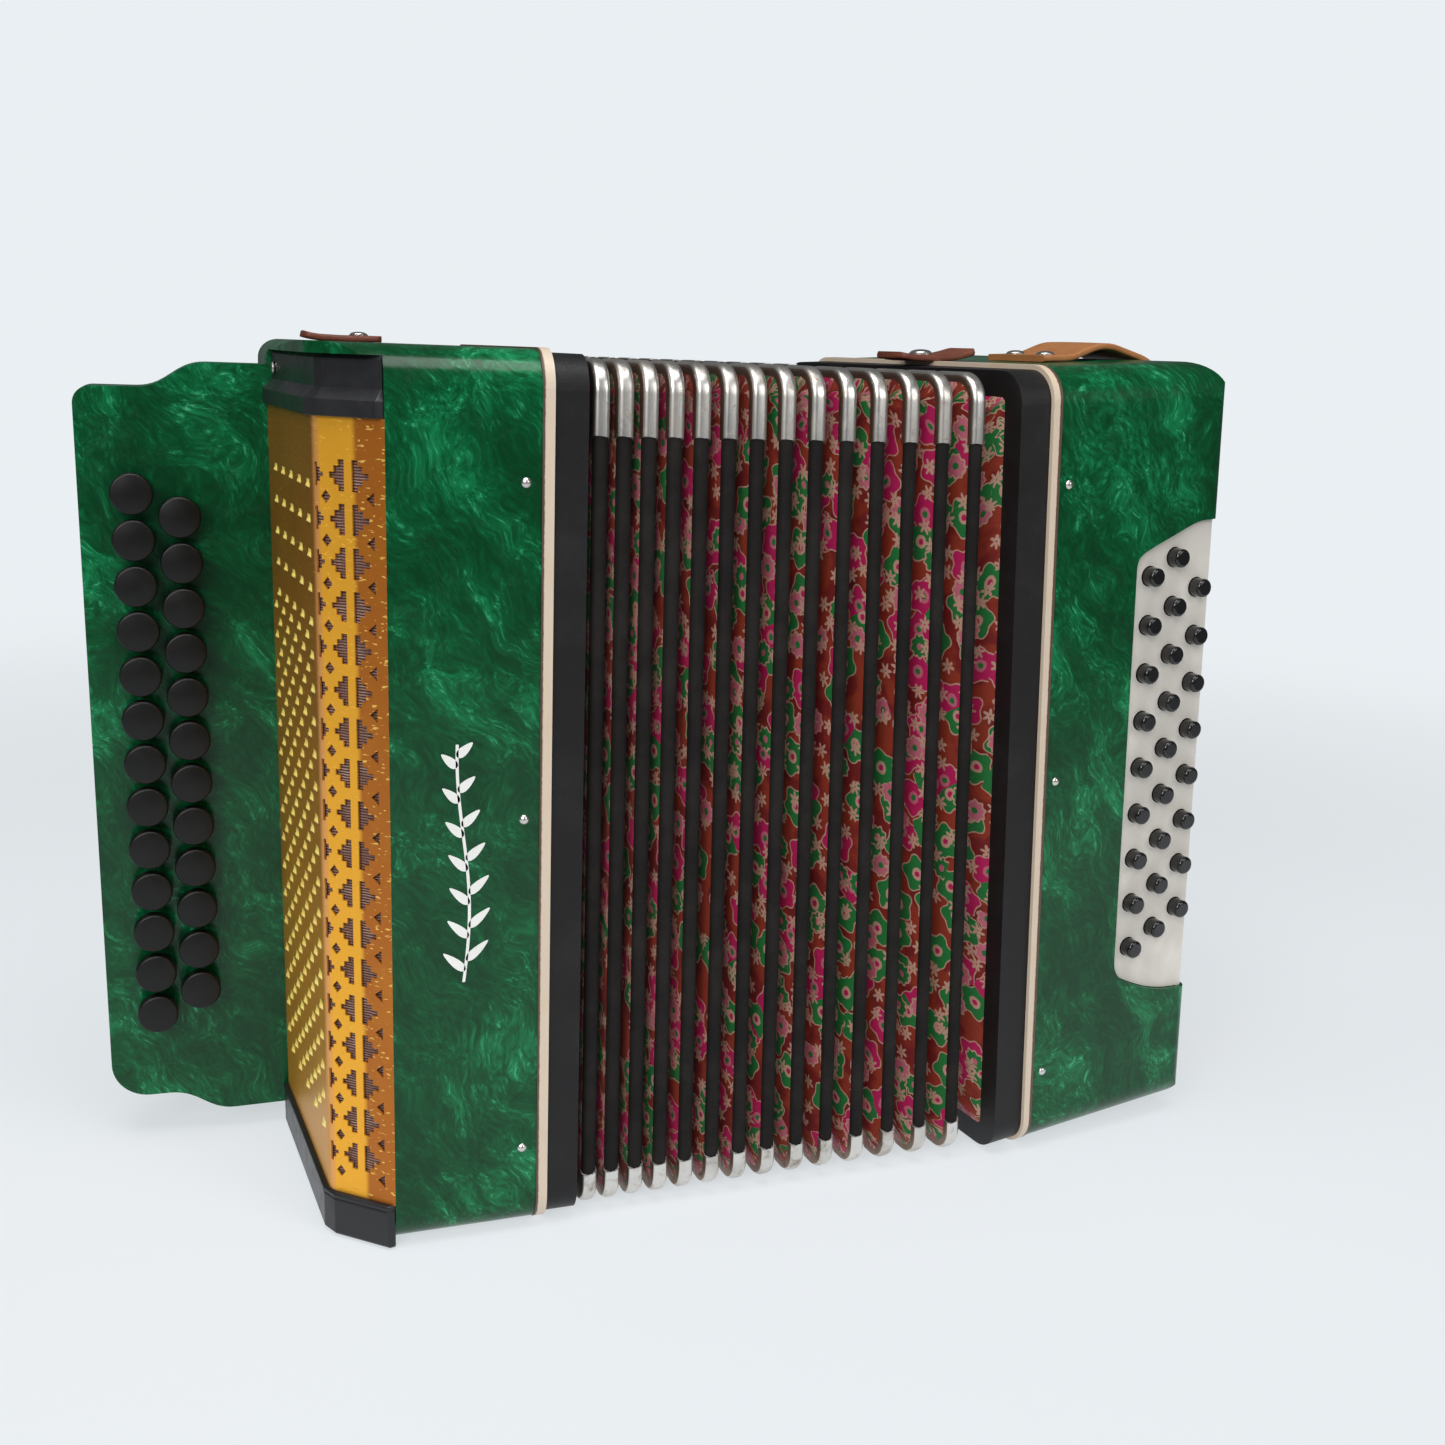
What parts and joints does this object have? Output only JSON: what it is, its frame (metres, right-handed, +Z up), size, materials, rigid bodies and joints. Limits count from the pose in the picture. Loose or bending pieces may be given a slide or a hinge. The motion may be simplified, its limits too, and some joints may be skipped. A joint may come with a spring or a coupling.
{
  "type": "button accordion",
  "caption": "Button accordion: two wooden cases joined by a folding bellows, with sprung treble keys, bass buttons, a pierced grille and a leather hand strap.",
  "frame": {"origin": "middle of the treble case's lower end face, which the instrument stands on", "axes": "+Z up along the cases' length, +X from the treble side to the bass side along the bellows' travel, -Y to the front (grille and bellows fronts)"},
  "size_m": [0.4845, 0.1962, 0.3513],
  "materials": {
    "green_pearloid": "polished, swirled celluloid over wood",
    "cream_celluloid": "satin",
    "black_leatherette": "grained, over wood",
    "fold_tape": "black bellows tape with metal corner guards, over card",
    "floral_satin": "printed satin",
    "gilt_sheet": "polished, pressed and pierced",
    "grille_weave": "open weave",
    "black_cap": "polished",
    "black_key": "satin button on a metal lever",
    "action_wood": "plain",
    "nickel_pins": "polished",
    "pale_panel": "painted pale grey",
    "black_button": "polished",
    "tan_leather": "waxed",
    "brown_leather": "waxed, with a nickel press stud"
  },
  "bodies": {
    "treble_case": {"treble_case": "green_pearloid", "treble_edge_strip": "cream_celluloid", "treble_bellows_frame": "black_leatherette", "fingerboard": "green_pearloid", "grille": "gilt_sheet", "grille_cloth": "grille_weave", "grille_end_caps": "black_cap", "treble_action_unit": "action_wood", "treble_pins": "nickel_pins", "bellows_cloth": "floral_satin"},
    "bass_case": {"bass_case": "green_pearloid", "bass_edge_strip": "cream_celluloid", "bass_bellows_frame": "black_leatherette", "bass_button_panel": "pale_panel", "bass_action_unit": "action_wood", "bass_pins": "nickel_pins", "hand_strap": "tan_leather", "closing_strap_tab": "brown_leather"},
    "bellows_fold_01": {"bellows_fold_01": "fold_tape"},
    "bellows_fold_02": {"bellows_fold_02": "fold_tape"},
    "bellows_fold_03": {"bellows_fold_03": "fold_tape"},
    "bellows_fold_04": {"bellows_fold_04": "fold_tape"},
    "bellows_fold_05": {"bellows_fold_05": "fold_tape"},
    "bellows_fold_06": {"bellows_fold_06": "fold_tape"},
    "bellows_fold_07": {"bellows_fold_07": "fold_tape"},
    "bellows_fold_08": {"bellows_fold_08": "fold_tape"},
    "bellows_fold_09": {"bellows_fold_09": "fold_tape"},
    "bellows_fold_10": {"bellows_fold_10": "fold_tape"},
    "bellows_fold_11": {"bellows_fold_11": "fold_tape"},
    "bellows_fold_12": {"bellows_fold_12": "fold_tape"},
    "bellows_fold_13": {"bellows_fold_13": "fold_tape"},
    "bellows_fold_14": {"bellows_fold_14": "fold_tape"},
    "treble_key_01": {"treble_key_01": "black_key"},
    "treble_key_02": {"treble_key_02": "black_key"},
    "treble_key_03": {"treble_key_03": "black_key"},
    "treble_key_04": {"treble_key_04": "black_key"},
    "treble_key_05": {"treble_key_05": "black_key"},
    "treble_key_06": {"treble_key_06": "black_key"},
    "treble_key_07": {"treble_key_07": "black_key"},
    "treble_key_08": {"treble_key_08": "black_key"},
    "treble_key_09": {"treble_key_09": "black_key"},
    "treble_key_10": {"treble_key_10": "black_key"},
    "treble_key_11": {"treble_key_11": "black_key"},
    "treble_key_12": {"treble_key_12": "black_key"},
    "treble_key_13": {"treble_key_13": "black_key"},
    "treble_key_14": {"treble_key_14": "black_key"},
    "treble_key_15": {"treble_key_15": "black_key"},
    "treble_key_16": {"treble_key_16": "black_key"},
    "treble_key_17": {"treble_key_17": "black_key"},
    "treble_key_18": {"treble_key_18": "black_key"},
    "treble_key_19": {"treble_key_19": "black_key"},
    "treble_key_20": {"treble_key_20": "black_key"},
    "treble_key_21": {"treble_key_21": "black_key"},
    "treble_key_22": {"treble_key_22": "black_key"},
    "treble_key_23": {"treble_key_23": "black_key"},
    "treble_key_24": {"treble_key_24": "black_key"},
    "treble_key_25": {"treble_key_25": "black_key"},
    "bass_buttons_inner_row": {"bass_buttons_inner_row": "black_button"},
    "bass_buttons_middle_row": {"bass_buttons_middle_row": "black_button"},
    "bass_buttons_outer_row": {"bass_buttons_outer_row": "black_button"}
  },
  "joints": [
    {"name": "bellows_draw", "type": "slide", "parent": "treble_case", "child": "bass_case", "axis": [1, 0, 0], "range_m": [-0.04738, 0.2], "deforming": ["bellows_cloth"]},
    {"name": "bellows_fold_01_slide", "type": "slide", "parent": "treble_case", "child": "bellows_fold_01", "axis": [1, 0, 0], "range_m": [-0.00102, 0.00424]},
    {"name": "bellows_fold_02_slide", "type": "slide", "parent": "treble_case", "child": "bellows_fold_02", "axis": [1, 0, 0], "range_m": [-0.00229, 0.00964]},
    {"name": "bellows_fold_03_slide", "type": "slide", "parent": "treble_case", "child": "bellows_fold_03", "axis": [1, 0, 0], "range_m": [-0.00386, 0.01622]},
    {"name": "bellows_fold_04_slide", "type": "slide", "parent": "treble_case", "child": "bellows_fold_04", "axis": [1, 0, 0], "range_m": [-0.00569, 0.02399]},
    {"name": "bellows_fold_05_slide", "type": "slide", "parent": "treble_case", "child": "bellows_fold_05", "axis": [1, 0, 0], "range_m": [-0.00782, 0.03294]},
    {"name": "bellows_fold_06_slide", "type": "slide", "parent": "treble_case", "child": "bellows_fold_06", "axis": [1, 0, 0], "range_m": [-0.01021, 0.04307]},
    {"name": "bellows_fold_07_slide", "type": "slide", "parent": "treble_case", "child": "bellows_fold_07", "axis": [1, 0, 0], "range_m": [-0.01289, 0.05438]},
    {"name": "bellows_fold_08_slide", "type": "slide", "parent": "treble_case", "child": "bellows_fold_08", "axis": [1, 0, 0], "range_m": [-0.01586, 0.06688]},
    {"name": "bellows_fold_09_slide", "type": "slide", "parent": "treble_case", "child": "bellows_fold_09", "axis": [1, 0, 0], "range_m": [-0.01909, 0.08055]},
    {"name": "bellows_fold_10_slide", "type": "slide", "parent": "treble_case", "child": "bellows_fold_10", "axis": [1, 0, 0], "range_m": [-0.02261, 0.09541]},
    {"name": "bellows_fold_11_slide", "type": "slide", "parent": "treble_case", "child": "bellows_fold_11", "axis": [1, 0, 0], "range_m": [-0.02642, 0.11146]},
    {"name": "bellows_fold_12_slide", "type": "slide", "parent": "treble_case", "child": "bellows_fold_12", "axis": [1, 0, 0], "range_m": [-0.0305, 0.12868]},
    {"name": "bellows_fold_13_slide", "type": "slide", "parent": "treble_case", "child": "bellows_fold_13", "axis": [1, 0, 0], "range_m": [-0.03485, 0.14708]},
    {"name": "bellows_fold_14_slide", "type": "slide", "parent": "treble_case", "child": "bellows_fold_14", "axis": [1, 0, 0], "range_m": [-0.03949, 0.16667]},
    {"name": "treble_key_01_hinge", "type": "hinge", "parent": "treble_case", "child": "treble_key_01", "pos_m": [-0.0483, 0.037, 0.2792], "axis": [0, 0, -1], "range_deg": [0, 3.16], "stiffness_Nm_per_rad": 0.8, "springref_deg": -2.86},
    {"name": "treble_key_02_hinge", "type": "hinge", "parent": "treble_case", "child": "treble_key_02", "pos_m": [-0.0483, 0.037, 0.261], "axis": [0, 0, -1], "range_deg": [0, 3.16], "stiffness_Nm_per_rad": 0.8, "springref_deg": -2.86},
    {"name": "treble_key_03_hinge", "type": "hinge", "parent": "treble_case", "child": "treble_key_03", "pos_m": [-0.0483, 0.037, 0.2428], "axis": [0, 0, -1], "range_deg": [0, 3.16], "stiffness_Nm_per_rad": 0.8, "springref_deg": -2.86},
    {"name": "treble_key_04_hinge", "type": "hinge", "parent": "treble_case", "child": "treble_key_04", "pos_m": [-0.0483, 0.037, 0.2246], "axis": [0, 0, -1], "range_deg": [0, 3.16], "stiffness_Nm_per_rad": 0.8, "springref_deg": -2.86},
    {"name": "treble_key_05_hinge", "type": "hinge", "parent": "treble_case", "child": "treble_key_05", "pos_m": [-0.0483, 0.037, 0.2064], "axis": [0, 0, -1], "range_deg": [0, 3.16], "stiffness_Nm_per_rad": 0.8, "springref_deg": -2.86},
    {"name": "treble_key_06_hinge", "type": "hinge", "parent": "treble_case", "child": "treble_key_06", "pos_m": [-0.0483, 0.037, 0.1882], "axis": [0, 0, -1], "range_deg": [0, 3.16], "stiffness_Nm_per_rad": 0.8, "springref_deg": -2.86},
    {"name": "treble_key_07_hinge", "type": "hinge", "parent": "treble_case", "child": "treble_key_07", "pos_m": [-0.0483, 0.037, 0.17], "axis": [0, 0, -1], "range_deg": [0, 3.16], "stiffness_Nm_per_rad": 0.8, "springref_deg": -2.86},
    {"name": "treble_key_08_hinge", "type": "hinge", "parent": "treble_case", "child": "treble_key_08", "pos_m": [-0.0483, 0.037, 0.1518], "axis": [0, 0, -1], "range_deg": [0, 3.16], "stiffness_Nm_per_rad": 0.8, "springref_deg": -2.86},
    {"name": "treble_key_09_hinge", "type": "hinge", "parent": "treble_case", "child": "treble_key_09", "pos_m": [-0.0483, 0.037, 0.1336], "axis": [0, 0, -1], "range_deg": [0, 3.16], "stiffness_Nm_per_rad": 0.8, "springref_deg": -2.86},
    {"name": "treble_key_10_hinge", "type": "hinge", "parent": "treble_case", "child": "treble_key_10", "pos_m": [-0.0483, 0.037, 0.1154], "axis": [0, 0, -1], "range_deg": [0, 3.16], "stiffness_Nm_per_rad": 0.8, "springref_deg": -2.86},
    {"name": "treble_key_11_hinge", "type": "hinge", "parent": "treble_case", "child": "treble_key_11", "pos_m": [-0.0483, 0.037, 0.0972], "axis": [0, 0, -1], "range_deg": [0, 3.16], "stiffness_Nm_per_rad": 0.8, "springref_deg": -2.86},
    {"name": "treble_key_12_hinge", "type": "hinge", "parent": "treble_case", "child": "treble_key_12", "pos_m": [-0.0483, 0.037, 0.079], "axis": [0, 0, -1], "range_deg": [0, 3.16], "stiffness_Nm_per_rad": 0.8, "springref_deg": -2.86},
    {"name": "treble_key_13_hinge", "type": "hinge", "parent": "treble_case", "child": "treble_key_13", "pos_m": [-0.0483, 0.037, 0.0608], "axis": [0, 0, -1], "range_deg": [0, 3.16], "stiffness_Nm_per_rad": 0.8, "springref_deg": -2.86},
    {"name": "treble_key_14_hinge", "type": "hinge", "parent": "treble_case", "child": "treble_key_14", "pos_m": [-0.0483, 0.037, 0.2701], "axis": [0, 0, -1], "range_deg": [0, 4.36], "stiffness_Nm_per_rad": 0.45, "springref_deg": -2.86},
    {"name": "treble_key_15_hinge", "type": "hinge", "parent": "treble_case", "child": "treble_key_15", "pos_m": [-0.0483, 0.037, 0.2519], "axis": [0, 0, -1], "range_deg": [0, 4.36], "stiffness_Nm_per_rad": 0.45, "springref_deg": -2.86},
    {"name": "treble_key_16_hinge", "type": "hinge", "parent": "treble_case", "child": "treble_key_16", "pos_m": [-0.0483, 0.037, 0.2337], "axis": [0, 0, -1], "range_deg": [0, 4.36], "stiffness_Nm_per_rad": 0.45, "springref_deg": -2.86},
    {"name": "treble_key_17_hinge", "type": "hinge", "parent": "treble_case", "child": "treble_key_17", "pos_m": [-0.0483, 0.037, 0.2155], "axis": [0, 0, -1], "range_deg": [0, 4.36], "stiffness_Nm_per_rad": 0.45, "springref_deg": -2.86},
    {"name": "treble_key_18_hinge", "type": "hinge", "parent": "treble_case", "child": "treble_key_18", "pos_m": [-0.0483, 0.037, 0.1973], "axis": [0, 0, -1], "range_deg": [0, 4.36], "stiffness_Nm_per_rad": 0.45, "springref_deg": -2.86},
    {"name": "treble_key_19_hinge", "type": "hinge", "parent": "treble_case", "child": "treble_key_19", "pos_m": [-0.0483, 0.037, 0.1791], "axis": [0, 0, -1], "range_deg": [0, 4.36], "stiffness_Nm_per_rad": 0.45, "springref_deg": -2.86},
    {"name": "treble_key_20_hinge", "type": "hinge", "parent": "treble_case", "child": "treble_key_20", "pos_m": [-0.0483, 0.037, 0.1609], "axis": [0, 0, -1], "range_deg": [0, 4.36], "stiffness_Nm_per_rad": 0.45, "springref_deg": -2.86},
    {"name": "treble_key_21_hinge", "type": "hinge", "parent": "treble_case", "child": "treble_key_21", "pos_m": [-0.0483, 0.037, 0.1427], "axis": [0, 0, -1], "range_deg": [0, 4.36], "stiffness_Nm_per_rad": 0.45, "springref_deg": -2.86},
    {"name": "treble_key_22_hinge", "type": "hinge", "parent": "treble_case", "child": "treble_key_22", "pos_m": [-0.0483, 0.037, 0.1245], "axis": [0, 0, -1], "range_deg": [0, 4.36], "stiffness_Nm_per_rad": 0.45, "springref_deg": -2.86},
    {"name": "treble_key_23_hinge", "type": "hinge", "parent": "treble_case", "child": "treble_key_23", "pos_m": [-0.0483, 0.037, 0.1063], "axis": [0, 0, -1], "range_deg": [0, 4.36], "stiffness_Nm_per_rad": 0.45, "springref_deg": -2.86},
    {"name": "treble_key_24_hinge", "type": "hinge", "parent": "treble_case", "child": "treble_key_24", "pos_m": [-0.0483, 0.037, 0.0881], "axis": [0, 0, -1], "range_deg": [0, 4.36], "stiffness_Nm_per_rad": 0.45, "springref_deg": -2.86},
    {"name": "treble_key_25_hinge", "type": "hinge", "parent": "treble_case", "child": "treble_key_25", "pos_m": [-0.0483, 0.037, 0.0699], "axis": [0, 0, -1], "range_deg": [0, 4.36], "stiffness_Nm_per_rad": 0.45, "springref_deg": -2.86},
    {"name": "bass_buttons_inner_row_slide", "type": "slide", "parent": "bass_case", "child": "bass_buttons_inner_row", "axis": [-0.1633, 0.9866, 0], "range_m": [0, 0.0035], "stiffness_N_per_m": 400, "springref_m": -0.002},
    {"name": "bass_buttons_middle_row_slide", "type": "slide", "parent": "bass_case", "child": "bass_buttons_middle_row", "axis": [-0.1633, 0.9866, 0], "range_m": [0, 0.0035], "stiffness_N_per_m": 400, "springref_m": -0.002},
    {"name": "bass_buttons_outer_row_slide", "type": "slide", "parent": "bass_case", "child": "bass_buttons_outer_row", "axis": [-0.1633, 0.9866, 0], "range_m": [0, 0.0035], "stiffness_N_per_m": 400, "springref_m": -0.002}
  ],
  "couplings": [
    {"joint": "bellows_fold_01_slide", "follows": "bellows_draw", "ratio": 0.02111},
    {"joint": "bellows_fold_02_slide", "follows": "bellows_draw", "ratio": 0.04812},
    {"joint": "bellows_fold_03_slide", "follows": "bellows_draw", "ratio": 0.08105},
    {"joint": "bellows_fold_04_slide", "follows": "bellows_draw", "ratio": 0.11988},
    {"joint": "bellows_fold_05_slide", "follows": "bellows_draw", "ratio": 0.16463},
    {"joint": "bellows_fold_06_slide", "follows": "bellows_draw", "ratio": 0.21528},
    {"joint": "bellows_fold_07_slide", "follows": "bellows_draw", "ratio": 0.27184},
    {"joint": "bellows_fold_08_slide", "follows": "bellows_draw", "ratio": 0.33432},
    {"joint": "bellows_fold_09_slide", "follows": "bellows_draw", "ratio": 0.4027},
    {"joint": "bellows_fold_10_slide", "follows": "bellows_draw", "ratio": 0.47699},
    {"joint": "bellows_fold_11_slide", "follows": "bellows_draw", "ratio": 0.5572},
    {"joint": "bellows_fold_12_slide", "follows": "bellows_draw", "ratio": 0.64331},
    {"joint": "bellows_fold_13_slide", "follows": "bellows_draw", "ratio": 0.73533},
    {"joint": "bellows_fold_14_slide", "follows": "bellows_draw", "ratio": 0.83326}
  ]
}
